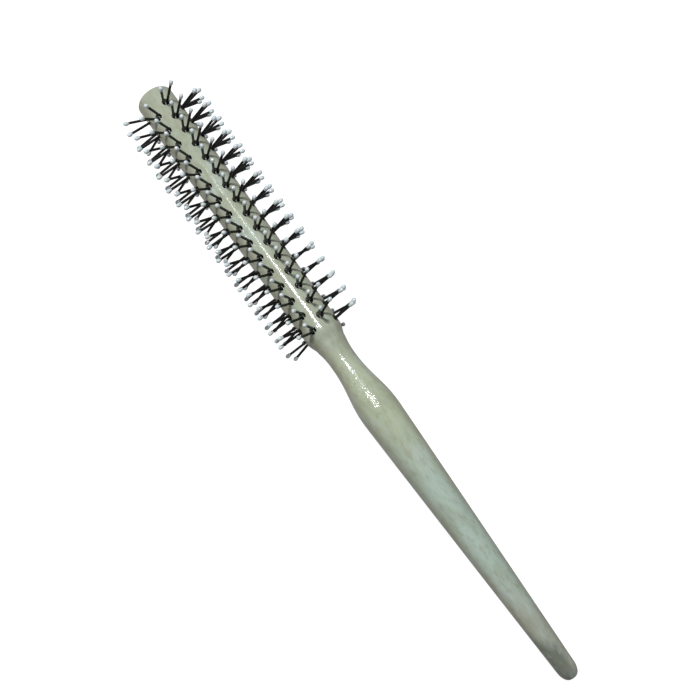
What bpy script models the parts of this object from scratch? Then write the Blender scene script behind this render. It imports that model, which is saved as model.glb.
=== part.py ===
"""Round barrel hair brush: a turned wooden body with eight rows of paired nylon pins.

The brush's axis is X: the barrel's tip is at -X, the handle's butt at +X, and the origin is halfway between them.
Row angles are measured about X, from +Z towards +Y. Units are metres.
"""

import math

import bmesh
import bpy
from mathutils import Matrix, Vector

MM = 0.001

# Turned body: lengths along the axis
BARREL_LENGTH = 99.0 * MM
SHOULDER_LENGTH = 1.9 * MM
NECK_LENGTH = 7.3 * MM
SWELL_LENGTH = 20.3 * MM
GRIP_LENGTH = 95.0 * MM
BUTT_LENGTH = 4.0 * MM
DOME_LENGTH = 2.0 * MM

# Turned body: radii
BARREL_TIP_RADIUS = 6.2 * MM
BARREL_END_RADIUS = 6.3 * MM
NECK_TOP_RADIUS = 5.2 * MM
NECK_RADIUS = 4.43 * MM
SWELL_RADIUS = 6.53 * MM
GRIP_END_RADIUS = 3.15 * MM
BUTT_FLAT_RADIUS = 0.9 * MM

# How far the grip's taper bows out from a straight cone, as a share of its fall
GRIP_BOW = 0.07

# Rows of tufts
ROW_COUNT = 8
TUFTS_PER_ROW = 16
TUFTS_PER_GROUP = 4
FIRST_TUFT_INSET = 7.8 * MM
LAST_TUFT_INSET = 1.95 * MM

# One tuft: a filament folded over its anchor, whose two legs are two pins
PIN_DIAMETER = 0.8 * MM
PIN_REACH = 7.7 * MM
PIN_SPREAD = 3.7 * MM
BALL_DIAMETER = 1.45 * MM
BALL_LENGTH = 1.8 * MM

# Anchor strip, and the drilled hole and slot that hold it
ANCHOR_THICKNESS = 0.4 * MM
ANCHOR_HEIGHT = 0.9 * MM
ANCHOR_END = 0.8 * MM
ANCHOR_DEPTH = 1.1 * MM
CLEARANCE = 0.25 * MM

# Facets
BODY_SEGMENTS = 24
HOLE_SEGMENTS = 6
PIN_SEGMENTS = 4
ROUND_STEPS = 4
CURVE_STEPS = 5

# Worked out from the sizes above
HANDLE_LENGTH = SHOULDER_LENGTH + NECK_LENGTH + SWELL_LENGTH + GRIP_LENGTH + BUTT_LENGTH
TOTAL_LENGTH = BARREL_LENGTH + HANDLE_LENGTH
TUFT_PITCH = (BARREL_LENGTH - FIRST_TUFT_INSET - LAST_TUFT_INSET) / (TUFTS_PER_ROW - 0.5)
FOLD_SPACING = PIN_DIAMETER + ANCHOR_THICKNESS
HOLE_RADIUS = (FOLD_SPACING + PIN_DIAMETER) / 2 + CLEARANCE


def remove_startup_objects():
    """Empty the scene that Blender opened with."""
    for item in list(bpy.data.objects):
        bpy.data.objects.remove(item, do_unlink=True)


def make_material(name, colour, roughness, metallic=0.0):
    """Return a Principled material in a linear colour."""
    material = bpy.data.materials.new(name)
    material.use_nodes = True
    shader = material.node_tree.nodes["Principled BSDF"]
    shader.inputs["Base Color"].default_value = (*colour, 1.0)
    shader.inputs["Roughness"].default_value = roughness
    shader.inputs["Metallic"].default_value = metallic
    material.diffuse_color = (*colour, 1.0)
    return material


def barrel_radius(distance):
    """Radius of the barrel at a distance from its tip: it flares slightly towards the handle."""
    share = distance / BARREL_LENGTH
    return BARREL_TIP_RADIUS + (BARREL_END_RADIUS - BARREL_TIP_RADIUS) * share


def quarter_round(start, length, radius, rise):
    """Points of a quarter ellipse that falls from radius by rise over length, flat at its start."""
    points = []
    for step in range(1, ROUND_STEPS + 1):
        angle = math.pi / 2 * step / ROUND_STEPS
        points.append((start + length * math.sin(angle), radius - rise * (1 - math.cos(angle))))
    return points


def cosine_blend(start, length, radius_from, radius_to, steps):
    """Points of a smooth rise between two radii, level at both ends."""
    points = []
    for step in range(1, steps + 1):
        share = (1 - math.cos(math.pi * step / steps)) / 2
        points.append((start + length * step / steps, radius_from + (radius_to - radius_from) * share))
    return points


def body_outline():
    """Outline of the turned body from its tip to its butt, as (distance, radius) pairs."""
    outline = [(0.0, 0.0)]
    for step in range(1, ROUND_STEPS + 1):
        angle = math.pi / 2 * step / ROUND_STEPS
        outline.append((DOME_LENGTH * (1 - math.cos(angle)), barrel_radius(DOME_LENGTH) * math.sin(angle)))
    outline.append((BARREL_LENGTH, BARREL_END_RADIUS))
    place = BARREL_LENGTH
    outline += quarter_round(place, SHOULDER_LENGTH, BARREL_END_RADIUS, BARREL_END_RADIUS - NECK_TOP_RADIUS)
    place += SHOULDER_LENGTH
    for step in range(1, CURVE_STEPS + 1):
        share = 1 - step / CURVE_STEPS
        radius = NECK_RADIUS + (NECK_TOP_RADIUS - NECK_RADIUS) * share**2
        outline.append((place + NECK_LENGTH * (1 - share), radius))
    place += NECK_LENGTH
    outline += cosine_blend(place, SWELL_LENGTH, NECK_RADIUS, SWELL_RADIUS, 2 * CURVE_STEPS)
    place += SWELL_LENGTH
    for step in range(1, CURVE_STEPS + 1):
        share = step / CURVE_STEPS
        fall = (SWELL_RADIUS - GRIP_END_RADIUS) * share * (1 - GRIP_BOW * (1 - share))
        outline.append((place + GRIP_LENGTH * share, SWELL_RADIUS - fall))
    place += GRIP_LENGTH
    outline += quarter_round(place, BUTT_LENGTH, GRIP_END_RADIUS, GRIP_END_RADIUS - BUTT_FLAT_RADIUS)
    return outline


def add_object(name, mesh, material):
    """Put a mesh in the scene under a name."""
    item = bpy.data.objects.new(name, mesh)
    if material:
        mesh.materials.append(material)
    bpy.context.collection.objects.link(item)
    return item


def turn_body(name, material):
    """Spin the outline about the axis into the solid wooden body."""
    mesh = bpy.data.meshes.new(name)
    bm = bmesh.new()
    outline = body_outline() + [(TOTAL_LENGTH, 0.0)]
    points = [bm.verts.new((distance - TOTAL_LENGTH / 2, 0.0, radius)) for distance, radius in outline]
    edges = [bm.edges.new(pair) for pair in zip(points, points[1:])]
    bmesh.ops.spin(bm, geom=points + edges, cent=(0, 0, 0), axis=(1, 0, 0), angle=2 * math.pi, steps=BODY_SEGMENTS)
    bmesh.ops.remove_doubles(bm, verts=bm.verts, dist=0.001 * MM)
    bmesh.ops.recalc_face_normals(bm, faces=bm.faces)
    bm.to_mesh(mesh)
    bm.free()
    mesh.shade_smooth()
    mesh.set_sharp_from_angle(angle=math.radians(40))
    return add_object(name, mesh, material)


def row_angle(row):
    """Angle of a row about the axis: the rows are even, and no row is straight up."""
    return math.tau * (row + 0.5) / ROW_COUNT


def tuft_place(row, tuft):
    """Distance of a tuft from the barrel's tip: every second row is half a pitch further on."""
    return FIRST_TUFT_INSET + TUFT_PITCH * (tuft + 0.5 * (row % 2))


def tuft_matrix(row, distance):
    """Frame of a tuft: its local Z runs out from the brush's axis, its X along the axis."""
    slide = Matrix.Translation((distance - TOTAL_LENGTH / 2, 0, 0))
    return slide @ Matrix.Rotation(-row_angle(row), 4, "X")


def add_prism(bm, matrix, radius, bottom, top, segments):
    """Add a closed prism about a local Z axis, whose flats lie at the radius."""
    corner = radius / math.cos(math.pi / segments)
    turn = Matrix.Rotation(math.pi / segments, 4, "Z")
    middle = Matrix.Translation((0, 0, (bottom + top) / 2))
    bmesh.ops.create_cone(
        bm,
        cap_ends=True,
        segments=segments,
        radius1=corner,
        radius2=corner,
        depth=top - bottom,
        matrix=matrix @ middle @ turn,
    )


def add_block(bm, matrix, low, high):
    """Add a closed block between two local corners."""
    low, high = Vector(low), Vector(high)
    size = Matrix.Diagonal((*(high - low), 1))
    bmesh.ops.create_cube(bm, size=1.0, matrix=matrix @ Matrix.Translation((low + high) / 2) @ size)


def anchor_levels(row, first):
    """Lowest and highest distance of a group's anchor strip from the axis."""
    top = barrel_radius(tuft_place(row, first)) - ANCHOR_DEPTH
    return top - ANCHOR_HEIGHT, top


def group_firsts():
    """Number of the first tuft in each group of a row."""
    return range(0, TUFTS_PER_ROW, TUFTS_PER_GROUP)


def filament_path(mouth, fold):
    """Centre line of a tuft's filament in its own plane: (sideways, outward, diameter) from end to end.

    One leg runs in from its ball to the mouth of the hole and on to the fold, and the other runs out the same way.
    """
    bend = Vector((FOLD_SPACING / 2, mouth))
    ball = Vector((PIN_SPREAD / 2, mouth + PIN_REACH))
    half_ball = (ball - bend).normalized() * BALL_LENGTH / 2
    leg = [
        (*(ball + half_ball), 0.0),
        (*ball, BALL_DIAMETER),
        (*(ball - half_ball), PIN_DIAMETER),
        (*bend, PIN_DIAMETER),
        (FOLD_SPACING / 2, fold, PIN_DIAMETER),
    ]
    return leg + [(-sideways, outward, diameter) for sideways, outward, diameter in reversed(leg)]


def filament_section(before, here, after):
    """Corners of the filament's section at one place of its path, mitred where the path turns."""
    centre = Vector(here[:2])
    arriving = (centre - Vector(before[:2])).normalized()
    bisector = (arriving + (Vector(after[:2]) - centre).normalized()).normalized()
    mitre = 1 / bisector.dot(arriving)
    # A polygon of the round section's own area
    corner = here[2] / 2 * math.sqrt(math.tau / (PIN_SEGMENTS * math.sin(math.tau / PIN_SEGMENTS)))
    section = []
    for segment in range(PIN_SEGMENTS):
        angle = math.tau * (segment + 0.5) / PIN_SEGMENTS
        across = corner * math.sin(angle) * mitre
        sideways = centre.x - bisector.y * across
        outward = centre.y + bisector.x * across
        section.append(Vector((corner * math.cos(angle), sideways, outward)))
    return section


def add_filament(bm, matrix, mouth, fold):
    """Add one folded filament with a ball on each end, as a closed tube."""
    path = filament_path(mouth, fold)
    rings = []
    for before, here, after in zip(path, path[1:], path[2:]):
        rings.append([bm.verts.new(matrix @ corner) for corner in filament_section(before, here, after)])
    for ring, following_ring in zip(rings, rings[1:]):
        for segment in range(PIN_SEGMENTS):
            following = (segment + 1) % PIN_SEGMENTS
            bm.faces.new((ring[segment], ring[following], following_ring[following], following_ring[segment]))
    for ring, end in ((rings[0], path[0]), (rings[-1], path[-1])):
        apex = bm.verts.new(matrix @ Vector((0, end[0], end[1])))
        for segment in range(PIN_SEGMENTS):
            bm.faces.new((ring[segment], ring[(segment + 1) % PIN_SEGMENTS], apex))


def new_mesh_object(name, fill, material=None):
    """Make an object whose mesh a function fills in."""
    mesh = bpy.data.meshes.new(name)
    bm = bmesh.new()
    fill(bm)
    bmesh.ops.recalc_face_normals(bm, faces=bm.faces)
    bm.to_mesh(mesh)
    bm.free()
    return add_object(name, mesh, material)


def make_cutter(name, fill):
    """Make a hidden object that only shapes another one."""
    cutter = new_mesh_object(name, fill)
    cutter.hide_render = True
    cutter.display_type = "WIRE"
    return cutter


def add_boolean(item, operand, operation):
    """Cut or join an operand into an object."""
    modifier = item.modifiers.new(f"{operation} {operand.name}", "BOOLEAN")
    modifier.object = operand
    modifier.operation = operation
    modifier.solver = "EXACT"


def fill_holes(bm):
    """Add the drilled hole of every tuft."""
    for row in range(ROW_COUNT):
        for first in group_firsts():
            bottom = anchor_levels(row, first)[0] - PIN_DIAMETER / 2 - CLEARANCE
            for tuft in range(first, first + TUFTS_PER_GROUP):
                distance = tuft_place(row, tuft)
                top = barrel_radius(distance) + PIN_DIAMETER
                add_prism(bm, tuft_matrix(row, distance), HOLE_RADIUS, bottom, top, HOLE_SEGMENTS)


def fill_slots(bm):
    """Add the hidden slot that each anchor strip runs through, from its first hole to its last."""
    for row in range(ROW_COUNT):
        for first in group_firsts():
            low, high = anchor_levels(row, first)
            reach = TUFT_PITCH * (TUFTS_PER_GROUP - 1)
            half_width = ANCHOR_THICKNESS / 2 + CLEARANCE
            add_block(
                bm,
                tuft_matrix(row, tuft_place(row, first)),
                (0, -half_width, low - CLEARANCE),
                (reach, half_width, high + CLEARANCE),
            )


def make_tuft_group(row, first, material):
    """Make the tufts that share one anchor strip, as one body."""
    low, high = anchor_levels(row, first)
    frame = tuft_matrix(row, tuft_place(row, first))
    reach = TUFT_PITCH * (TUFTS_PER_GROUP - 1)

    def fill_strip(bm):
        half_width = ANCHOR_THICKNESS / 2
        add_block(bm, frame, (-ANCHOR_END, -half_width, low), (reach + ANCHOR_END, half_width, high))

    def fill_filaments(bm):
        for tuft in range(first, first + TUFTS_PER_GROUP):
            distance = tuft_place(row, tuft)
            add_filament(bm, tuft_matrix(row, distance), barrel_radius(distance), low)

    group = first // TUFTS_PER_GROUP + 1
    name = f"pin_row_{row + 1}_group_{group}"
    strip = new_mesh_object(name, fill_strip, material)
    add_boolean(strip, make_cutter(f"{name}_filaments", fill_filaments), "UNION")
    return strip


def main():
    """Build the brush."""
    remove_startup_objects()
    wood = make_material("lacquered_wood", (0.36, 0.4, 0.31), 0.18)
    nylon = make_material("black_nylon", (0.012, 0.013, 0.015), 0.35)
    body = turn_body("turned_wood_body", wood)
    add_boolean(body, make_cutter("tuft_holes", fill_holes), "DIFFERENCE")
    add_boolean(body, make_cutter("anchor_slots", fill_slots), "DIFFERENCE")
    for row in range(ROW_COUNT):
        for first in group_firsts():
            make_tuft_group(row, first, nylon)


main()
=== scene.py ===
"""Round barrel hair brush: the visual model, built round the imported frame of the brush.

The brush lies along X, with its barrel at -X and its handle at +X. Sizes are in metres. Each sub-assembly is a class
that holds its sizes and builds its own pieces, and each finish is a class that builds its own material.
"""

import logging
import math
import random
from dataclasses import dataclass, field
from enum import Enum
from typing import Any

import bmesh
import bpy
from mathutils import Matrix, Vector


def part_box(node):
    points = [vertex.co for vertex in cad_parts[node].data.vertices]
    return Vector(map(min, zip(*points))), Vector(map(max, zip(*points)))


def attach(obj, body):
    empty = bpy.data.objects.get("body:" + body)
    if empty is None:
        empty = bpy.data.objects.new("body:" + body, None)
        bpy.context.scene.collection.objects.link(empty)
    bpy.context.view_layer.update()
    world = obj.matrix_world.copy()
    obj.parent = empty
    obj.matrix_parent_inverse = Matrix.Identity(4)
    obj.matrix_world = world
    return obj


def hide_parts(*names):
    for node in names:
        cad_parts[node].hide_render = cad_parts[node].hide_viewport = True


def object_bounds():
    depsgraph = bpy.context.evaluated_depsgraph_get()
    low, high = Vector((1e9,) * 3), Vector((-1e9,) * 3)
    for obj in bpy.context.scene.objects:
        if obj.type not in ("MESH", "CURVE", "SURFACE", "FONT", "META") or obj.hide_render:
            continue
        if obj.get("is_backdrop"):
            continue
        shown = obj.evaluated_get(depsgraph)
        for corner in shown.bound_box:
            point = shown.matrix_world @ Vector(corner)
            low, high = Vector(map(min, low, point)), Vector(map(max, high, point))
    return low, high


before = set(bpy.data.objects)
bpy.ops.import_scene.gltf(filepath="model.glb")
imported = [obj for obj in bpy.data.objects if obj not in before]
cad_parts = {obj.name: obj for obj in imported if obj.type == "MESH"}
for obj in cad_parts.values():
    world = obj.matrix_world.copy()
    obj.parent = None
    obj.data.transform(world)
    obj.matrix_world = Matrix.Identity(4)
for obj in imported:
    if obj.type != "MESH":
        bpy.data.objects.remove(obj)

LOG = logging.getLogger("brush")
MM = 0.001
ROOT_BODY = "root"


class Slot(Enum):
    """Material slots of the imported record."""

    WOOD = "lacquered_wood"
    NYLON = "black_nylon"
    RESIN = "ball_resin"
    STEEL = "anchor_steel"


# ---------------------------------------------------------------------------------------------------------------------
# Helpers
# ---------------------------------------------------------------------------------------------------------------------


def linear(hex_colour: str) -> tuple[float, float, float, float]:
    """Turn an sRGB hex colour into linear light.

    Args:
        hex_colour: colour such as "#a0b0c0".

    Returns:
        Linear red, green, blue and an alpha of 1.
    """
    channels = []
    for place in (1, 3, 5):
        value = int(hex_colour[place : place + 2], 16) / 255
        channels.append(value / 12.92 if value <= 0.04045 else ((value + 0.055) / 1.055) ** 2.4)
    return (*channels, 1.0)


def add_node(
    tree: bpy.types.NodeTree, kind: str, settings: dict[str, Any] | None = None, **inputs: Any
) -> bpy.types.Node:
    """Add a shader node with its settings, and fill or link its inputs.

    Args:
        tree: node tree that gets the node.
        kind: node type, such as "ShaderNodeTexNoise".
        settings: attributes of the node.
        inputs: value or output socket for each input, with spaces in its name written as underscores.

    Returns:
        The new node.
    """
    node = tree.nodes.new(kind)
    for name, value in (settings or {}).items():
        setattr(node, name, value)
    for name, value in inputs.items():
        socket = next(s for s in node.inputs if s.enabled and name in (s.name.replace(" ", "_"), s.identifier))
        if isinstance(value, bpy.types.NodeSocket):
            tree.links.new(value, socket)
        else:
            socket.default_value = value
    return node


def add_ramp(
    tree: bpy.types.NodeTree,
    share: bpy.types.NodeSocket,
    colours: tuple[str, str],
    places: tuple[float, float] = (0.0, 1.0),
) -> bpy.types.NodeSocket:
    """Add a ramp from one colour to another.

    Args:
        tree: node tree that gets the ramp.
        share: value that runs along the ramp.
        colours: first and last colour, as sRGB hex colours.
        places: where on the ramp they lie.

    Returns:
        The colour.
    """
    ramp = add_node(tree, "ShaderNodeValToRGB", Fac=share)
    for element, colour, place in zip(ramp.color_ramp.elements, colours, places):
        element.color = linear(colour)
        element.position = place
    return ramp.outputs["Color"]


def start_material(name: str, **inputs: Any) -> tuple[bpy.types.Material, bpy.types.NodeTree, bpy.types.Node]:
    """Start a material, with its shader's plain inputs filled in.

    Args:
        name: name of the material.
        inputs: value for each input of the shader, with spaces in its name written as underscores.

    Returns:
        The material, its node tree and its shader.
    """
    material = bpy.data.materials.new(name)
    material.use_nodes = True
    shader = material.node_tree.nodes["Principled BSDF"]
    for key, value in inputs.items():
        shader.inputs[key.replace("_", " ")].default_value = value
    return material, material.node_tree, shader


def seen_as_background(tree: bpy.types.NodeTree, glossy_share: float) -> bpy.types.NodeSocket:
    """Tell how much a ray sees the white background: wholly from the camera and through glass, in part by gloss.

    Args:
        tree: node tree of the floor or the world.
        glossy_share: how white the background looks in a glossy surface.

    Returns:
        A share from 0 to 1.
    """
    path = add_node(tree, "ShaderNodeLightPath")
    direct = add_node(tree, "ShaderNodeMath", {"operation": "MAXIMUM"})
    tree.links.new(path.outputs["Is Camera Ray"], direct.inputs[0])
    tree.links.new(path.outputs["Is Transmission Ray"], direct.inputs[1])
    seen = add_node(tree, "ShaderNodeMath", {"operation": "MULTIPLY_ADD", "use_clamp": True})
    tree.links.new(path.outputs["Is Glossy Ray"], seen.inputs[0])
    seen.inputs[1].default_value = glossy_share
    tree.links.new(direct.outputs["Value"], seen.inputs[2])
    return seen.outputs["Value"]


def deselect_all() -> None:
    """Leave nothing selected."""
    bpy.ops.object.select_all(action="DESELECT")


def activate(item: bpy.types.Object) -> None:
    """Make one object the only selected and active one.

    Args:
        item: the object.
    """
    deselect_all()
    item.select_set(True)
    bpy.context.view_layer.objects.active = item


def apply_place(item: bpy.types.Object) -> None:
    """Put an object's place, turn and scale into its mesh."""
    activate(item)
    bpy.ops.object.transform_apply(location=True, rotation=True, scale=True)


def join(items: list[bpy.types.Object], name: str) -> bpy.types.Object:
    """Join objects into one.

    Args:
        items: objects to join.
        name: name of the result.

    Returns:
        The joined object.
    """
    deselect_all()
    for item in items:
        item.select_set(True)
    bpy.context.view_layer.objects.active = items[0]
    if len(items) > 1:
        bpy.ops.object.join()
    joined = bpy.context.object
    joined.name = name
    joined.data.name = name
    return joined


def copy_of(item: bpy.types.Object, matrix: Matrix) -> bpy.types.Object:
    """Copy an object with its own mesh, moved by a matrix that goes into the mesh.

    Args:
        item: object to copy.
        matrix: place and turn of the copy.

    Returns:
        The copy.
    """
    twin = item.copy()
    twin.data = item.data.copy()
    twin.data.transform(matrix)
    bpy.context.collection.objects.link(twin)
    return twin


def discard(items: list[bpy.types.Object]) -> None:
    """Remove helper objects."""
    for item in items:
        bpy.data.objects.remove(item, do_unlink=True)


def start_outline(place: Vector) -> bpy.types.Object:
    """Start an outline: a plane melted down to one vertex, left in edit mode and selected.

    Args:
        place: where the vertex lies.

    Returns:
        The object, in edit mode.
    """
    deselect_all()
    bpy.ops.mesh.primitive_plane_add(size=1 * MM, location=place)
    bpy.ops.object.transform_apply(location=True, rotation=True, scale=True)
    bpy.ops.object.mode_set(mode="EDIT")
    bpy.ops.mesh.select_all(action="SELECT")
    bpy.ops.mesh.merge(type="CENTER")
    return bpy.context.object


def draw_to(points: list[Vector], start: Vector) -> None:
    """Extrude the selected vertex of an outline from point to point.

    Args:
        points: places to reach, in order.
        start: place of the vertex at first.
    """
    here = start
    for point in points:
        bpy.ops.mesh.extrude_region_move(TRANSFORM_OT_translate={"value": point - here})
        here = point


# ---------------------------------------------------------------------------------------------------------------------
# Finishes
# ---------------------------------------------------------------------------------------------------------------------


@dataclass(frozen=True)
class Rise:
    """How a share rises smoothly: from 0 at a start to its most where it is full."""

    start: float
    full: float
    most: float = 1.0


@dataclass(frozen=True)
class LacqueredBeech:
    """Close-grained hardwood, stained pale grey-green and dipped in clear gloss lacquer.

    The stain has settled unevenly: sage on the barrel, greener on the swell, bluer along the grip, greyer and then dark
    where the end grain has drunk it. The flanks are darker and browner than the crown as painted shade, with the lit
    crown turned a little towards the side the light comes from. Soft clouds and small blotches mottle it all, and the
    fibre shows as short fine flecks along the axis. The lacquer's highlight is sharp but broken by its orange peel.
    """

    name: str = "stained_lacquered_beech"
    sage: str = "#adb5a1"
    green: str = "#b6c1a7"
    blue_green: str = "#b0c3b6"
    grey: str = "#a9b0a2"
    end_dark: str = "#5f655c"
    # Painted shade: the darker, browner colour laid on the flanks that face away from the light
    flank_shade_brown: str = "#958b76"
    cloud: str = "#bccbc4"
    olive: str = "#8b9075"
    knot: str = "#9a957b"
    # Where each stain begins and is full, as places along the axis
    green_zone: Rise = Rise(-13 * MM, 0 * MM)
    blue_zone: Rise = Rise(17 * MM, 47 * MM)
    grey_zone: Rise = Rise(75 * MM, 91 * MM)
    dark_zone: Rise = Rise(96 * MM, 106 * MM, 0.85)
    # The zones' borders wander by a few millimetres, and lean across the grip
    wander_size: float = 6 * MM
    wander_stretch: float = 1.5
    wander_reach: float = 14 * MM
    border_lean: float = -1.2
    # The lit crown's turn towards +Y, the flanks' painted shade and the dark end's flank, over the parts of the normal
    lit_crown_turn: float = 0.2
    painted_shade_flanks: Rise = Rise(0.95, 0.35, 0.55)
    dark_flank: Rise = Rise(0.9, 0.1)
    # Clouds, blotches and fibres, over noise that is 0.5 on average
    cloud_size: float = 4.5 * MM
    cloud_stretch: float = 2.2
    pale_clouds: Rise = Rise(0.5, 0.72, 0.5)
    olive_clouds: Rise = Rise(0.5, 0.3, 0.25)
    blotch_size: float = 1.3 * MM
    blotch_stretch: float = 2.0
    pale_blotches: Rise = Rise(0.5, 0.75, 0.3)
    olive_blotches: Rise = Rise(0.5, 0.25, 0.4)
    # A fibre is about 0.1 mm wide, and is drawn coarser so that it shows
    fibre_width: float = 0.3 * MM
    fibre_stretch: float = 16.0
    olive_fibres: Rise = Rise(0.5, 0.75, 0.35)
    knot_place: tuple[float, float, float] = (31.45 * MM, -0.8 * MM, 5.9 * MM)
    knot_size: tuple[float, float, float] = (2.4 * MM, 1.3 * MM, 2.0 * MM)
    knot_edge: Rise = Rise(1.1, 0.4, 0.45)
    # The lacquer's relief, and where along the axis it is rippled most
    peel_size: float = 1.0 * MM
    peel_stretch: float = 2.0
    dust_size: float = 0.3 * MM
    dust_stretch: float = 1.5
    dust_share: float = 0.3
    fibre_share: float = 0.12
    ripple_onto: Rise = Rise(-9 * MM, 7 * MM, 1.5)
    ripple_off: Rise = Rise(39 * MM, 7 * MM)
    plain_ripple: float = 0.95
    relief_height: float = 0.06 * MM

    def build(self) -> bpy.types.Material:
        """Build the material.

        Returns:
            The material.
        """
        material, tree, shader = start_material(
            self.name, Roughness=0.3, IOR=1.5, Specular_IOR_Level=0.1,
            Coat_Weight=1.0, Coat_Roughness=0.07, Coat_IOR=1.5,
        )
        coordinates = add_node(tree, "ShaderNodeTexCoord")
        place, normal = coordinates.outputs["Object"], coordinates.outputs["Normal"]
        blotches = self._noise(tree, place, self.blotch_size, self.blotch_stretch, 3.0)
        fibres = self._noise(tree, place, self.fibre_width, self.fibre_stretch, 3.0)
        colour = self._stains_and_shade(tree, place, normal)
        colour = self._mottle(tree, place, colour, blotches, fibres)
        tree.links.new(colour, shader.inputs["Base Color"])
        tree.links.new(self._peel(tree, place, fibres), shader.inputs["Coat Normal"])
        return material

    def _stains_and_shade(
        self, tree: bpy.types.NodeTree, place: bpy.types.NodeSocket, normal: bpy.types.NodeSocket
    ) -> bpy.types.NodeSocket:
        """Mix the broad colours: the stain's zones along the axis, and painted shade on the flanks.

        Args:
            tree: node tree of the material.
            place: object coordinates.
            normal: object normal.

        Returns:
            The colour.
        """
        wander = self._noise(tree, place, self.wander_size, self.wander_stretch, 1.0)
        parts = add_node(tree, "ShaderNodeSeparateXYZ", Vector=place)
        lean = self._arithmetic(tree, "MULTIPLY_ADD", parts.outputs["Y"], self.border_lean, parts.outputs["X"])
        along = self._arithmetic(tree, "MULTIPLY_ADD", wander, self.wander_reach, lean)
        along = self._arithmetic(tree, "SUBTRACT", along, self.wander_reach / 2)
        colour: Any = linear(self.sage)
        for stain, zone in (
            (self.green, self.green_zone),
            (self.blue_green, self.blue_zone),
            (self.grey, self.grey_zone),
        ):
            colour = self._mix(tree, self._rise(tree, along, zone), colour, linear(stain))
        turned = add_node(tree, "ShaderNodeSeparateXYZ", Vector=normal)
        # Painted shade: the flanks turned away from the light above are darker and browner, and the lit crown leans a
        # little towards +Y, the side the key lamp stands on
        crown = self._arithmetic(tree, "MULTIPLY_ADD", turned.outputs["Y"], self.lit_crown_turn, turned.outputs["Z"])
        crown = self._arithmetic(tree, "ABSOLUTE", crown)
        colour = self._mix(tree, self._rise(tree, crown, self.painted_shade_flanks), colour, linear(self.flank_shade_brown))
        # The end grain has drunk the most stain, and near the end all but the +Y flank is darkened
        side = self._rise(tree, turned.outputs["Y"], self.dark_flank)
        dark = self._arithmetic(tree, "MULTIPLY", self._rise(tree, along, self.dark_zone), side)
        return self._mix(tree, dark, colour, linear(self.end_dark))

    def _mottle(
        self,
        tree: bpy.types.NodeTree,
        place: bpy.types.NodeSocket,
        colour: bpy.types.NodeSocket,
        blotches: bpy.types.NodeSocket,
        fibres: bpy.types.NodeSocket,
    ) -> bpy.types.NodeSocket:
        """Break the colour up with clouds, blotches, fibres and one small knot.

        Args:
            tree: node tree of the material.
            place: object coordinates.
            colour: broad colour.
            blotches: noise of the small blotches.
            fibres: noise of the fibres.

        Returns:
            The colour.
        """
        clouds = self._noise(tree, place, self.cloud_size, self.cloud_stretch, 2.0)
        for noise, rise, tint in (
            (clouds, self.pale_clouds, self.cloud),
            (clouds, self.olive_clouds, self.olive),
            (blotches, self.pale_blotches, self.cloud),
            (blotches, self.olive_blotches, self.olive),
            (fibres, self.olive_fibres, self.olive),
        ):
            colour = self._mix(tree, self._rise(tree, noise, rise), colour, linear(tint))
        knot_place = add_node(
            tree, "ShaderNodeMapping", {"vector_type": "TEXTURE"}, Vector=place,
            Location=self.knot_place, Scale=self.knot_size,
        )
        reach = add_node(tree, "ShaderNodeVectorMath", {"operation": "LENGTH"}, Vector=knot_place.outputs["Vector"])
        knot = self._rise(tree, reach.outputs["Value"], self.knot_edge)
        return self._mix(tree, knot, colour, linear(self.knot))

    def _peel(
        self, tree: bpy.types.NodeTree, place: bpy.types.NodeSocket, fibres: bpy.types.NodeSocket
    ) -> bpy.types.NodeSocket:
        """Make the lacquer's normal: orange peel, fine dust and a trace of the fibres under it.

        Args:
            tree: node tree of the material.
            place: object coordinates.
            fibres: noise of the fibres.

        Returns:
            The normal.
        """
        peel = self._noise(tree, place, self.peel_size, self.peel_stretch, 2.0)
        dust = self._noise(tree, place, self.dust_size, self.dust_stretch, 1.0)
        relief = self._arithmetic(tree, "MULTIPLY_ADD", dust, self.dust_share, peel)
        relief = self._arithmetic(tree, "MULTIPLY_ADD", fibres, self.fibre_share, relief)
        # The dip leaves the thickest and most rippled lacquer on the swell
        along = add_node(tree, "ShaderNodeSeparateXYZ", Vector=place).outputs["X"]
        onto = self._rise(tree, along, self.ripple_onto)
        off = self._rise(tree, along, self.ripple_off)
        gain = self._arithmetic(tree, "MULTIPLY_ADD", onto, off, self.plain_ripple)
        relief = self._arithmetic(tree, "MULTIPLY", relief, gain)
        bump = add_node(tree, "ShaderNodeBump", Height=relief, Strength=1.0, Distance=self.relief_height)
        return bump.outputs["Normal"]

    def _noise(
        self, tree: bpy.types.NodeTree, place: bpy.types.NodeSocket, width: float, stretch: float, detail: float
    ) -> bpy.types.NodeSocket:
        """Add noise drawn out along the grain.

        Args:
            tree: node tree of the material.
            place: object coordinates.
            width: size of the noise across the grain.
            stretch: how many times longer than wide it is.
            detail: octaves of the noise.

        Returns:
            The noise value.
        """
        grain = add_node(tree, "ShaderNodeMapping", Vector=place, Scale=(1 / (width * stretch), 1 / width, 1 / width))
        noise = add_node(tree, "ShaderNodeTexNoise", Vector=grain.outputs["Vector"], Scale=1.0, Detail=detail)
        return noise.outputs["Fac"]

    def _rise(self, tree: bpy.types.NodeTree, value: bpy.types.NodeSocket, rise: Rise) -> bpy.types.NodeSocket:
        """Add a share that rises smoothly over a value.

        Args:
            tree: node tree of the material.
            value: value that the share follows.
            rise: where it starts, where it is full and its most.

        Returns:
            The share.
        """
        node = add_node(
            tree, "ShaderNodeMapRange", {"interpolation_type": "SMOOTHSTEP"},
            Value=value, From_Min=rise.start, From_Max=rise.full, To_Max=rise.most,
        )
        return node.outputs["Result"]

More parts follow.
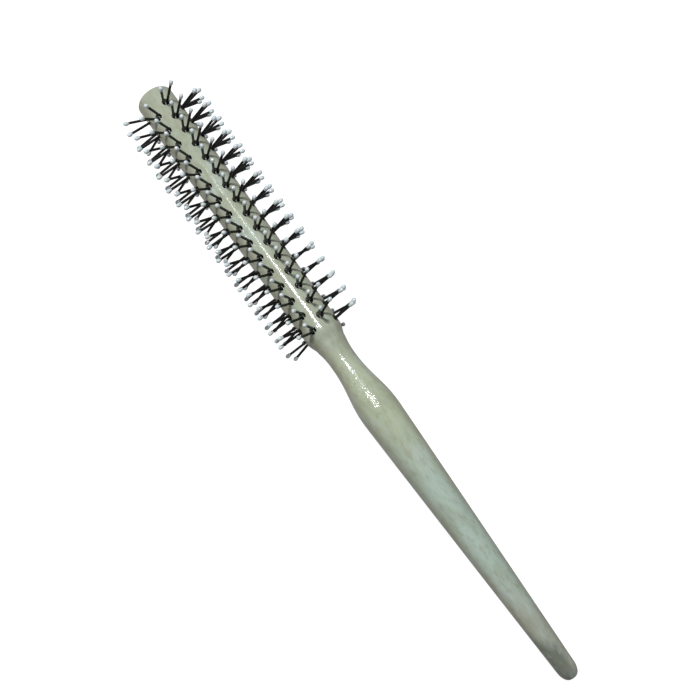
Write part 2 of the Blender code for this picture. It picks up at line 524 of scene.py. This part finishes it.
    def _arithmetic(
        self, tree: bpy.types.NodeTree, operation: str, *values: bpy.types.NodeSocket | float
    ) -> bpy.types.NodeSocket:
        """Add a Math node over values and sockets.

        Args:
            tree: node tree of the material.
            operation: what the node does.
            values: value or output socket for each input, in order.

        Returns:
            The result.
        """
        node = add_node(tree, "ShaderNodeMath", {"operation": operation})
        for socket, value in zip(node.inputs, values):
            if isinstance(value, bpy.types.NodeSocket):
                tree.links.new(value, socket)
            else:
                socket.default_value = value
        return node.outputs["Value"]

    def _mix(
        self, tree: bpy.types.NodeTree, share: bpy.types.NodeSocket, first: Any, second: Any
    ) -> bpy.types.NodeSocket:
        """Blend two colours by a share.

        Args:
            tree: node tree of the material.
            share: part of the second colour.
            first: first colour or socket.
            second: second colour or socket.

        Returns:
            The blended colour.
        """
        mix = add_node(
            tree, "ShaderNodeMix", {"data_type": "RGBA"}, Factor_Float=share, A_Color=first, B_Color=second
        )
        return next(s for s in mix.outputs if s.type == "RGBA")


@dataclass(frozen=True)
class DrilledBeech:
    """The bare wall of a drilled hole: unlacquered wood torn by the drill, coloured dark as painted shade inside the
    hole.
    """

    name: str = "drilled_beech"
    # Painted shade: both colours are dark to stand for the shade inside the hole
    wall: str = "#4c4a3d"
    pore: str = "#2f2d25"
    pore_size: float = 0.15 * MM

    def build(self) -> bpy.types.Material:
        """Build the material.

        Returns:
            The material.
        """
        material, tree, shader = start_material(self.name, Roughness=0.85)
        place = add_node(tree, "ShaderNodeTexCoord").outputs["Object"]
        pores = add_node(tree, "ShaderNodeTexNoise", Vector=place, Scale=1 / self.pore_size, Detail=3.0)
        colour = add_ramp(tree, pores.outputs["Fac"], (self.pore, self.wall))
        tree.links.new(colour, shader.inputs["Base Color"])
        bump = add_node(tree, "ShaderNodeBump", Height=pores.outputs["Fac"], Strength=0.5, Distance=0.05 * MM)
        tree.links.new(bump.outputs["Normal"], shader.inputs["Normal"])
        return material


@dataclass(frozen=True)
class BlackNylon:
    """Extruded black nylon monofilament: smooth, with faint draw lines that break up a soft gloss."""

    name: str = "black_nylon_monofilament"
    body: str = "#08090a"
    worn: str = "#141617"
    draw_line: float = 0.12 * MM

    def build(self) -> bpy.types.Material:
        """Build the material.

        Returns:
            The material.
        """
        material, tree, shader = start_material(self.name, IOR=1.53, Specular_IOR_Level=0.3)
        place = add_node(tree, "ShaderNodeTexCoord").outputs["Object"]
        noise = add_node(tree, "ShaderNodeTexNoise", Vector=place, Scale=1 / self.draw_line, Detail=3.0)
        colour = add_ramp(tree, noise.outputs["Fac"], (self.body, self.worn), (0.35, 0.8))
        tree.links.new(colour, shader.inputs["Base Color"])
        rough = add_node(tree, "ShaderNodeMapRange", Value=noise.outputs["Fac"], To_Min=0.3, To_Max=0.48)
        tree.links.new(rough.outputs["Result"], shader.inputs["Roughness"])
        bump = add_node(tree, "ShaderNodeBump", Height=noise.outputs["Fac"], Strength=0.15, Distance=0.01 * MM)
        tree.links.new(bump.outputs["Normal"], shader.inputs["Normal"])
        return material


@dataclass(frozen=True)
class DippedResin:
    """Drops of pale bluish epoxy on the pins' ends: glossy, a little cloudy and lit from within."""

    name: str = "dipped_epoxy_resin"
    clear: str = "#e9f1f4"
    cloudy: str = "#cad8dd"
    cloud_size: float = 0.6 * MM

    def build(self) -> bpy.types.Material:
        """Build the material.

        Returns:
            The material.
        """
        material, tree, shader = start_material(
            self.name, IOR=1.52, Roughness=0.14,
            Subsurface_Weight=0.35, Subsurface_Scale=0.5 * MM, Subsurface_Radius=(0.7, 0.9, 1.0),
        )
        place = add_node(tree, "ShaderNodeTexCoord").outputs["Object"]
        cloud = add_node(tree, "ShaderNodeTexNoise", Vector=place, Scale=1 / self.cloud_size, Detail=2.0)
        colour = add_ramp(tree, cloud.outputs["Fac"], (self.cloudy, self.clear), (0.3, 0.7))
        tree.links.new(colour, shader.inputs["Base Color"])
        return material


@dataclass(frozen=True)
class AnchorSteel:
    """Cut tinned steel strip, with drawing lines along its length."""

    name: str = "cut_steel_strip"
    bright: str = "#eceeec"
    dull: str = "#b9bdbb"
    line_width: float = 0.05 * MM
    line_stretch: float = 15.0

    def build(self) -> bpy.types.Material:
        """Build the material.

        Returns:
            The material.
        """
        material, tree, shader = start_material(self.name, Metallic=1.0)
        place = add_node(tree, "ShaderNodeTexCoord").outputs["Object"]
        scale = (1 / (self.line_width * self.line_stretch), 1 / self.line_width, 1 / self.line_width)
        lines = add_node(tree, "ShaderNodeMapping", Vector=place, Scale=scale)
        noise = add_node(tree, "ShaderNodeTexNoise", Vector=lines.outputs["Vector"], Scale=1.0, Detail=2.0)
        colour = add_ramp(tree, noise.outputs["Fac"], (self.dull, self.bright))
        tree.links.new(colour, shader.inputs["Base Color"])
        rough = add_node(tree, "ShaderNodeMapRange", Value=noise.outputs["Fac"], To_Min=0.5, To_Max=0.65)
        tree.links.new(rough.outputs["Result"], shader.inputs["Roughness"])
        return material


@dataclass(frozen=True)
class PaperSweep:
    """White photographic paper: it shows as white, and keeps almost no shadow of the brush."""

    name: str = "white_paper"
    paper: str = "#888886"
    glow: float = 0.97
    glossy_share: float = 0.2

    def build(self) -> bpy.types.Material:
        """Build the material.

        Returns:
            The material.
        """
        material, tree, shader = start_material(
            self.name, Base_Color=linear(self.paper), Roughness=0.9,
            Specular_IOR_Level=0.0, Emission_Color=(1.0, 1.0, 1.0, 1.0),
        )
        seen = seen_as_background(tree, self.glossy_share)
        glow = add_node(tree, "ShaderNodeMath", {"operation": "MULTIPLY"})
        tree.links.new(seen, glow.inputs[0])
        glow.inputs[1].default_value = self.glow
        tree.links.new(glow.outputs["Value"], shader.inputs["Emission Strength"])
        return material


# ---------------------------------------------------------------------------------------------------------------------
# Turned body
# ---------------------------------------------------------------------------------------------------------------------


@dataclass
class TurnedBody:
    """The turned wooden body: domed barrel, waisted neck and tapered handle in one piece, drilled for the tufts."""

    node: str = "turned_wood_body"
    barrel_length: float = 99.0 * MM
    # The shoulder starts this far before the barrel's end
    shoulder_inset: float = 0.9 * MM
    shoulder_length: float = 4.8 * MM
    neck_length: float = 5.3 * MM
    swell_length: float = 23.5 * MM
    grip_length: float = 91.8 * MM
    butt_length: float = 4.0 * MM
    dome_length: float = 2.1 * MM
    barrel_tip_radius: float = 6.2 * MM
    barrel_end_radius: float = 6.3 * MM
    neck_top_radius: float = 5.05 * MM
    neck_radius: float = 4.43 * MM
    swell_radius: float = 6.5 * MM
    grip_end_radius: float = 3.15 * MM
    butt_flat_radius: float = 0.9 * MM
    # How far the grip's taper bows out from a straight cone, as a share of its fall
    grip_bow: float = 0.07
    segments: int = 128
    # Steps of each stretch of the outline
    dome_steps: int = 14
    barrel_steps: int = 24
    shoulder_steps: int = 14
    neck_steps: int = 10
    swell_steps: int = 28
    grip_steps: int = 30
    butt_steps: int = 12
    smooth_angle: float = 35.0
    tip: float = field(init=False)

    def __post_init__(self) -> None:
        """Read from the frame where the barrel's tip lies."""
        self.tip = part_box(self.node)[0].x

    def barrel_radius(self, distance: float) -> float:
        """Return the barrel's radius at a distance from its tip."""
        share = distance / self.barrel_length
        return self.barrel_tip_radius + (self.barrel_end_radius - self.barrel_tip_radius) * share

    def outline(self) -> list[tuple[float, float]]:
        """Work out the turned outline, from the tip to the butt.

        Returns:
            A distance from the tip and a radius for each point.
        """
        points = [(0.0, 0.0)]
        tip_radius = self.barrel_radius(self.dome_length)
        for step in range(1, self.dome_steps + 1):
            angle = math.pi / 2 * step / self.dome_steps
            points.append((self.dome_length * (1 - math.cos(angle)), tip_radius * math.sin(angle)))
        place = self.barrel_length - self.shoulder_inset
        for step in range(1, self.barrel_steps + 1):
            distance = self.dome_length + (place - self.dome_length) * step / self.barrel_steps
            points.append((distance, self.barrel_radius(distance)))
        for step in range(1, self.shoulder_steps + 1):
            share = (1 - math.cos(math.pi * step / self.shoulder_steps)) / 2
            fall = (self.barrel_end_radius - self.neck_top_radius) * share
            points.append((place + self.shoulder_length * step / self.shoulder_steps, self.barrel_end_radius - fall))
        place += self.shoulder_length
        for step in range(1, self.neck_steps + 1):
            share = 1 - step / self.neck_steps
            radius = self.neck_radius + (self.neck_top_radius - self.neck_radius) * share**2
            points.append((place + self.neck_length * (1 - share), radius))
        place += self.neck_length
        # The swell bulges a little before it runs into the grip's taper without a corner
        slope = -(self.swell_radius - self.grip_end_radius) * (1 - self.grip_bow) / self.grip_length
        for step in range(1, self.swell_steps + 1):
            t = step / self.swell_steps
            share = t**3 * (10 - 15 * t + 6 * t**2)
            bulge = slope * self.swell_length * t**3 * (-4 + 7 * t - 3 * t**2)
            radius = self.neck_radius + (self.swell_radius - self.neck_radius) * share + bulge
            points.append((place + self.swell_length * t, radius))
        place += self.swell_length
        for step in range(1, self.grip_steps + 1):
            share = step / self.grip_steps
            fall = (self.swell_radius - self.grip_end_radius) * share * (1 - self.grip_bow * (1 - share))
            points.append((place + self.grip_length * share, self.swell_radius - fall))
        place += self.grip_length
        for step in range(1, self.butt_steps + 1):
            angle = math.pi / 2 * step / self.butt_steps
            fall = (self.grip_end_radius - self.butt_flat_radius) * (1 - math.cos(angle))
            points.append((place + self.butt_length * math.sin(angle), self.grip_end_radius - fall))
        points.append((place + self.butt_length, 0.0))
        return points

    def build(self, cutter: bpy.types.Object, wood: bpy.types.Material, bare: bpy.types.Material) -> bpy.types.Object:
        """Turn the body and drill it.

        Args:
            cutter: the drills, as one object.
            wood: material of the outside.
            bare: material of the holes' walls.

        Returns:
            The finished body.
        """
        points = [Vector((self.tip + distance, 0.0, radius)) for distance, radius in self.outline()]
        body = start_outline(points[0])
        draw_to(points[1:], points[0])
        bpy.ops.mesh.select_all(action="SELECT")
        bpy.ops.mesh.spin(steps=self.segments, angle=math.tau, center=(0, 0, 0), axis=(1, 0, 0))
        bpy.ops.mesh.select_all(action="SELECT")
        bpy.ops.mesh.remove_doubles(threshold=0.001 * MM)
        bpy.ops.mesh.normals_make_consistent(inside=False)
        bpy.ops.object.mode_set(mode="OBJECT")
        body.name = body.data.name = "turned_body"
        body.data.materials.append(wood)
        cutter.data.materials.clear()
        cutter.data.materials.append(bare)
        drill = body.modifiers.new("tuft holes", "BOOLEAN")
        drill.object = cutter
        drill.operation = "DIFFERENCE"
        drill.solver = "EXACT"
        activate(body)
        bpy.ops.object.modifier_apply(modifier=drill.name)
        bpy.ops.object.shade_smooth_by_angle(angle=math.radians(self.smooth_angle))
        discard([cutter])
        return body


# ---------------------------------------------------------------------------------------------------------------------
# Tufts
# ---------------------------------------------------------------------------------------------------------------------


@dataclass(frozen=True)
class TuftParts:
    """The parts of one tuft, in its own frame.

    The origin is in the middle of the hole's mouth, with Z outwards and X along the axis.
    """

    filament: bpy.types.Object
    balls: bpy.types.Object
    anchor: bpy.types.Object

    def all(self) -> list[bpy.types.Object]:
        """Return the parts."""
        return [self.filament, self.balls, self.anchor]


@dataclass
class Tuft:
    """One nylon filament folded over a steel anchor: its legs are two pins, and each ends in a ball of resin."""

    pin_diameter: float = 0.83 * MM
    pin_reach: float = 7.7 * MM
    pin_spread: float = 4.1 * MM
    fold_spacing: float = 1.4 * MM
    ball_width: float = 1.4 * MM
    ball_length: float = 1.7 * MM
    collar: float = 0.35 * MM
    anchor_thickness: float = 0.4 * MM
    anchor_height: float = 0.9 * MM
    anchor_width: float = 2.3 * MM
    anchor_depth: float = 0.8 * MM
    anchor_ease: float = 0.08 * MM
    hole_diameter: float = 2.5 * MM
    hole_depth: float = 3.3 * MM
    drill_overshoot: float = 1 * MM
    # A leg runs straight up to this depth, then through points at shares of its reach, each bowed out a little
    straight_to: float = 0.25 * MM
    leg_bow: tuple[tuple[float, float], ...] = ((0.04, 0.0), (0.35, 0.035 * MM), (0.7, 0.03 * MM), (1.0, 0.0))
    fold_turns: tuple[int, ...] = (45, 90, 135)
    # How far below its middle, as a share of its length, a ball is drawn down into its collar
    collar_from: float = 0.32
    filament_smooth_angle: float = 50.0
    anchor_smooth_angle: float = 40.0
    # How far hand-set pins stray: their lean in degrees, and how much shorter than full reach
    stray_lean: float = 1.5
    stray_reach: float = 0.3 * MM

    def leg(self, side: int, lean: float, drift: float, reach: float) -> list[Vector]:
        """Lay out one leg, from the fold's side up to the ball's middle.

        Args:
            side: 1 or -1, the side of the anchor that the leg stands on.
            lean: extra outward lean in radians.
            drift: lean along the brush's axis in radians.
            reach: height of the ball's middle over the mouth.

        Returns:
            The leg's points.
        """
        half = self.fold_spacing / 2
        spread = math.atan2(self.pin_spread / 2 - half, self.pin_reach) + lean
        low = -self.anchor_depth - self.anchor_height
        points = [Vector((0, side * half, low)), Vector((0, side * half, -self.straight_to))]
        for share, bow in self.leg_bow:
            height = reach * share
            out = half + height * math.tan(spread) + bow
            points.append(Vector((height * math.tan(drift), side * out, height)))
        return points

    def make_filament(self, legs: list[list[Vector]], name: str) -> bpy.types.Object:
        """Draw the folded filament as one wire and give it its round section.

        Args:
            legs: points of the two legs, from the fold up.
            name: name of the result.

        Returns:
            The filament.
        """
        low = legs[0][0].z
        half = self.fold_spacing / 2
        fold = [
            Vector((0, half * math.cos(math.radians(turn)), low - half * math.sin(math.radians(turn))))
            for turn in self.fold_turns
        ]
        path = [*reversed(legs[0]), *fold, *legs[1]]
        wire = start_outline(path[0])
        draw_to(path[1:], path[0])
        bpy.ops.object.mode_set(mode="OBJECT")
        bpy.ops.object.convert(target="CURVE")
        wire = bpy.context.object
        wire.data.dimensions = "3D"
        wire.data.bevel_depth = self.pin_diameter / 2
        wire.data.bevel_resolution = 2
        wire.data.use_fill_caps = True
        bpy.ops.object.convert(target="MESH")
        wire = bpy.context.object
        bpy.ops.object.shade_smooth_by_angle(angle=math.radians(self.filament_smooth_angle))
        wire.name = name
        return wire

    def make_ball(self, top: Vector, below: Vector, name: str) -> bpy.types.Object:
        """Make one ball of resin, drawn down into a short collar where it wets the pin.

        Args:
            top: middle of the ball.
            below: a point further down the pin.
            name: name of the result.

        Returns:
            The ball.
        """
        deselect_all()
        bpy.ops.mesh.primitive_uv_sphere_add(segments=10, ring_count=8, radius=self.ball_width / 2)
        ball = bpy.context.object
        bpy.ops.object.mode_set(mode="EDIT")
        bpy.ops.mesh.select_all(action="SELECT")
        bpy.ops.transform.resize(value=(1, 1, self.ball_length / self.ball_width))
        bpy.ops.mesh.select_all(action="DESELECT")
        bm = bmesh.from_edit_mesh(ball.data)
        for vertex in bm.verts:
            vertex.select_set(vertex.co.z < -self.collar_from * self.ball_length)
        bm.select_flush_mode()
        bmesh.update_edit_mesh(ball.data)
        bpy.ops.transform.translate(value=(0, 0, -self.collar))
        bpy.ops.object.mode_set(mode="OBJECT")
        turn = (top - below).to_track_quat("Z", "Y").to_matrix().to_4x4()
        ball.data.transform(Matrix.Translation(top) @ turn)
        bpy.ops.object.shade_smooth()
        ball.name = name
        return ball

    def make_anchor(self, name: str) -> bpy.types.Object:
        """Make the steel anchor: a short cut strip with its edges eased, standing across the fold.

        Args:
            name: name of the result.

        Returns:
            The anchor.
        """
        deselect_all()
        middle = -self.anchor_depth - self.anchor_height / 2
        bpy.ops.mesh.primitive_cube_add(size=1, location=(0, 0, middle))
        bpy.context.object.scale = (self.anchor_width, self.anchor_thickness, self.anchor_height)
        bpy.ops.object.transform_apply(location=True, rotation=True, scale=True)
        bpy.ops.object.mode_set(mode="EDIT")
        bpy.ops.mesh.select_all(action="SELECT")
        bpy.ops.mesh.bevel(offset=self.anchor_ease, segments=2, affect="EDGES")
        bpy.ops.object.mode_set(mode="OBJECT")
        bpy.ops.object.shade_smooth_by_angle(angle=math.radians(self.anchor_smooth_angle))
        bpy.context.object.name = name
        return bpy.context.object

    def build(self, chance: random.Random, name: str) -> TuftParts:
        """Build one tuft, whose pins stray a little as its own.

        Args:
            chance: source of the strays.
            name: name that the parts' names start with.

        Returns:
            The parts.
        """
        legs = []
        stray = math.radians(self.stray_lean)
        for side in (1, -1):
            lean, drift = chance.uniform(-stray, stray), chance.uniform(-stray, stray)
            reach = self.pin_reach - chance.uniform(0, self.stray_reach)
            legs.append(self.leg(side, lean, drift, reach))
        balls = [self.make_ball(leg[-1], leg[-2], f"{name}_ball") for leg in legs]
        return TuftParts(
            filament=self.make_filament(legs, f"{name}_filament"),
            balls=join(balls, f"{name}_balls"),
            anchor=self.make_anchor(f"{name}_anchor"),
        )

    def make_drill(self) -> bpy.types.Object:
        """Make the drill for one hole, in the tuft's frame.

        Returns:
            The drill.
        """
        deselect_all()
        bpy.ops.mesh.primitive_cylinder_add(
            vertices=16,
            radius=self.hole_diameter / 2,
            depth=self.hole_depth + self.drill_overshoot,
            location=(0, 0, (self.drill_overshoot - self.hole_depth) / 2),
        )
        drill = bpy.context.object
        apply_place(drill)
        drill.name = "drill"
        return drill


@dataclass
class PinRows:
    """Eight even rows of sixteen tufts. Every second row is half a pitch further on."""

    body: TurnedBody
    tuft: Tuft
    rows: int = 8
    tufts_per_row: int = 16
    tufts_per_group: int = 4
    first_inset: float = 7.8 * MM
    last_inset: float = 1.95 * MM
    variants: int = 8
    seed: int = 5
    # How far each row's filaments are turned about their holes, in degrees, and how far single ones stray from that
    row_twists: tuple[float, ...] = (10.0, 18.0, 18.0, -14.0, 8.0, 18.0, 22.0, 24.0)
    twist_stray: float = 4.0

    @property
    def pitch(self) -> float:
        """Distance between tufts of a row."""
        return (self.body.barrel_length - self.first_inset - self.last_inset) / (self.tufts_per_row - 0.5)

    def frame_of(self, row: int, tuft: int) -> Matrix:
        """Work out the frame of a tuft: origin in the middle of its hole's mouth, Z outwards.

        Args:
            row: number of the row, from 0.
            tuft: number of the tuft in its row, from 0 at the barrel's tip.

        Returns:
            The frame.
        """
        distance = self.first_inset + self.pitch * (tuft + 0.5 * (row % 2))
        angle = math.tau * (row + 0.5) / self.rows
        slide = Matrix.Translation((self.body.tip + distance, 0, 0))
        return slide @ Matrix.Rotation(-angle, 4, "X") @ Matrix.Translation((0, 0, self.body.barrel_radius(distance)))

    def drills(self) -> bpy.types.Object:
        """Make the drills for all the holes.

        Returns:
            The drills, as one object.
        """
        drill = self.tuft.make_drill()
        copies = [
            copy_of(drill, self.frame_of(row, tuft)) for row in range(self.rows) for tuft in range(self.tufts_per_row)
        ]
        discard([drill])
        return join(copies, "drills")

    def build(self, nylon: bpy.types.Material, resin: bpy.types.Material, steel: bpy.types.Material) -> None:
        """Build every tuft, joined group by group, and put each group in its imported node's place.

        Args:
            nylon: material of the filaments.
            resin: material of the balls.
            steel: material of the anchors.
        """
        chance = random.Random(self.seed)
        templates = [self.tuft.build(chance, f"template_{number}") for number in range(self.variants)]
        for template in templates:
            for part, material in zip(template.all(), (nylon, resin, steel)):
                part.data.materials.clear()
                part.data.materials.append(material)
        for row in range(self.rows):
            for group in range(self.tufts_per_row // self.tufts_per_group):
                filaments, balls, anchors = [], [], []
                for step in range(self.tufts_per_group):
                    template = chance.choice(templates)
                    twist = self.row_twists[row] + chance.uniform(-self.twist_stray, self.twist_stray)
                    turn = Matrix.Rotation(math.radians(twist) + math.pi * chance.randrange(2), 4, "Z")
                    hole = self.frame_of(row, group * self.tufts_per_group + step)
                    filaments.append(copy_of(template.filament, hole @ turn))
                    balls.append(copy_of(template.balls, hole @ turn))
                    anchors.append(copy_of(template.anchor, hole))
                node = f"pin_row_{row + 1}_group_{group + 1}"
                place_piece(join(filaments, f"{node}_filaments"), node)
                place_piece(join(balls, f"{node}_ball_tips"), node)
                place_piece(join(anchors, f"{node}_anchors"), node)
        for template in templates:
            discard(template.all())


def place_piece(piece: bpy.types.Object, node: str) -> None:
    """Tie a finished piece to the frame.

    Args:
        piece: the piece, at the origin, with its place in its mesh.
        node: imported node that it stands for.
    """
    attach(piece, ROOT_BODY)
    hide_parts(node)
    LOG.info("%s: %d faces", piece.name, len(piece.data.polygons))


# ---------------------------------------------------------------------------------------------------------------------
# Studio
# ---------------------------------------------------------------------------------------------------------------------


@dataclass(frozen=True)
class Lamp:
    """A soft lamp: its size, how far it leans from overhead towards the barrel's tip and to the side, and its power."""

    name: str
    size: tuple[float, float]
    lean: float
    side: float
    power: float


@dataclass
class Studio:
    """White paper floor, a soft key lamp, a dimmer one beside it, a dim window, soft fill and the camera."""

    floor_level: float
    floor_size: float = 6.0
    lamp_distance: float = 0.6
    lamps: tuple[Lamp, ...] = (
        Lamp(name="key", size=(0.078, 0.052), lean=18.0, side=3.6, power=2.65),
        Lamp(name="key_end", size=(0.104, 0.042), lean=26.9, side=3.2, power=0.17),
        Lamp(name="window", size=(0.09, 0.03), lean=33.0, side=-34.0, power=0.12),
    )
    world_strength: float = 0.2
    glossy_share: float = 0.25
    camera_place: tuple[float, float, float] = (49.185 * MM, -4.069 * MM, 258.202 * MM)
    camera_turn: tuple[float, float, float] = (5.5468, 3.5813, 54.3357)
    lens: float = 43.064
    sensor_width: float = 36.0
    clip_start: float = 5 * MM
    shift: tuple[float, float] = (-0.045, 0.11)

    def build(self) -> None:
        """Build the studio."""
        self._add_floor()
        self._add_world()
        for lamp_plan in self.lamps:
            self._add_lamp(lamp_plan)
        self._add_camera()
        bpy.context.scene.view_settings.view_transform = "Standard"

    def _add_floor(self) -> None:
        """Add the paper floor."""
        deselect_all()
        bpy.ops.mesh.primitive_plane_add(size=self.floor_size, location=(0, 0, self.floor_level))
        floor = bpy.context.object
        apply_place(floor)
        floor.name = "paper_floor"
        floor.data.materials.append(PaperSweep().build())
        floor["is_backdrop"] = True

    def _add_world(self) -> None:
        """Add the soft fill: even light all round, which the camera sees as white."""
        world = bpy.data.worlds.new("studio")
        bpy.context.scene.world = world
        world.use_nodes = True
        tree = world.node_tree
        background = tree.nodes["Background"]
        background.inputs["Color"].default_value = (1.0, 1.0, 1.0, 1.0)
        seen = seen_as_background(tree, self.glossy_share)
        strength = add_node(tree, "ShaderNodeMapRange", Value=seen, To_Min=self.world_strength, To_Max=1.0)
        tree.links.new(strength.outputs["Result"], background.inputs["Strength"])

    def _add_lamp(self, lamp_plan: Lamp) -> None:
        """Add a soft lamp whose long side lies along the brush.

        Args:
            lamp_plan: what the lamp is and where it hangs.
        """
        lean, side = math.tan(math.radians(lamp_plan.lean)), math.tan(math.radians(lamp_plan.side))
        towards = Vector((-lean, side, 1.0)).normalized()
        data = bpy.data.lights.new(lamp_plan.name, "AREA")
        data.shape = "RECTANGLE"
        data.size, data.size_y = lamp_plan.size
        data.energy = lamp_plan.power
        lamp = bpy.data.objects.new(lamp_plan.name, data)
        bpy.context.collection.objects.link(lamp)
        lamp.location = towards * self.lamp_distance
        across = towards.cross(Vector((1, 0, 0))).normalized()
        along = across.cross(towards)
        turn = Matrix((along, -across, towards)).transposed()
        lamp.rotation_euler = turn.to_euler()

    def _add_camera(self) -> None:
        """Add the camera."""
        data = bpy.data.cameras.new("camera")
        data.sensor_width = self.sensor_width
        data.lens = self.lens
        data.shift_x, data.shift_y = self.shift
        data.clip_start = self.clip_start
        camera = bpy.data.objects.new("camera", data)
        bpy.context.collection.objects.link(camera)
        camera.location = self.camera_place
        camera.rotation_euler = [math.radians(turn) for turn in self.camera_turn]
        bpy.context.scene.camera = camera


def main() -> None:
    """Build the brush in its studio."""
    logging.basicConfig(level=logging.INFO)
    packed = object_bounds()
    body = TurnedBody()
    rows = PinRows(body, Tuft())
    wood = body.build(rows.drills(), LacqueredBeech().build(), DrilledBeech().build())
    place_piece(wood, body.node)
    rows.build(BlackNylon().build(), DippedResin().build(), AnchorSteel().build())
    Studio(floor_level=packed[0].z).build()


if __name__ == "__main__":
    main()
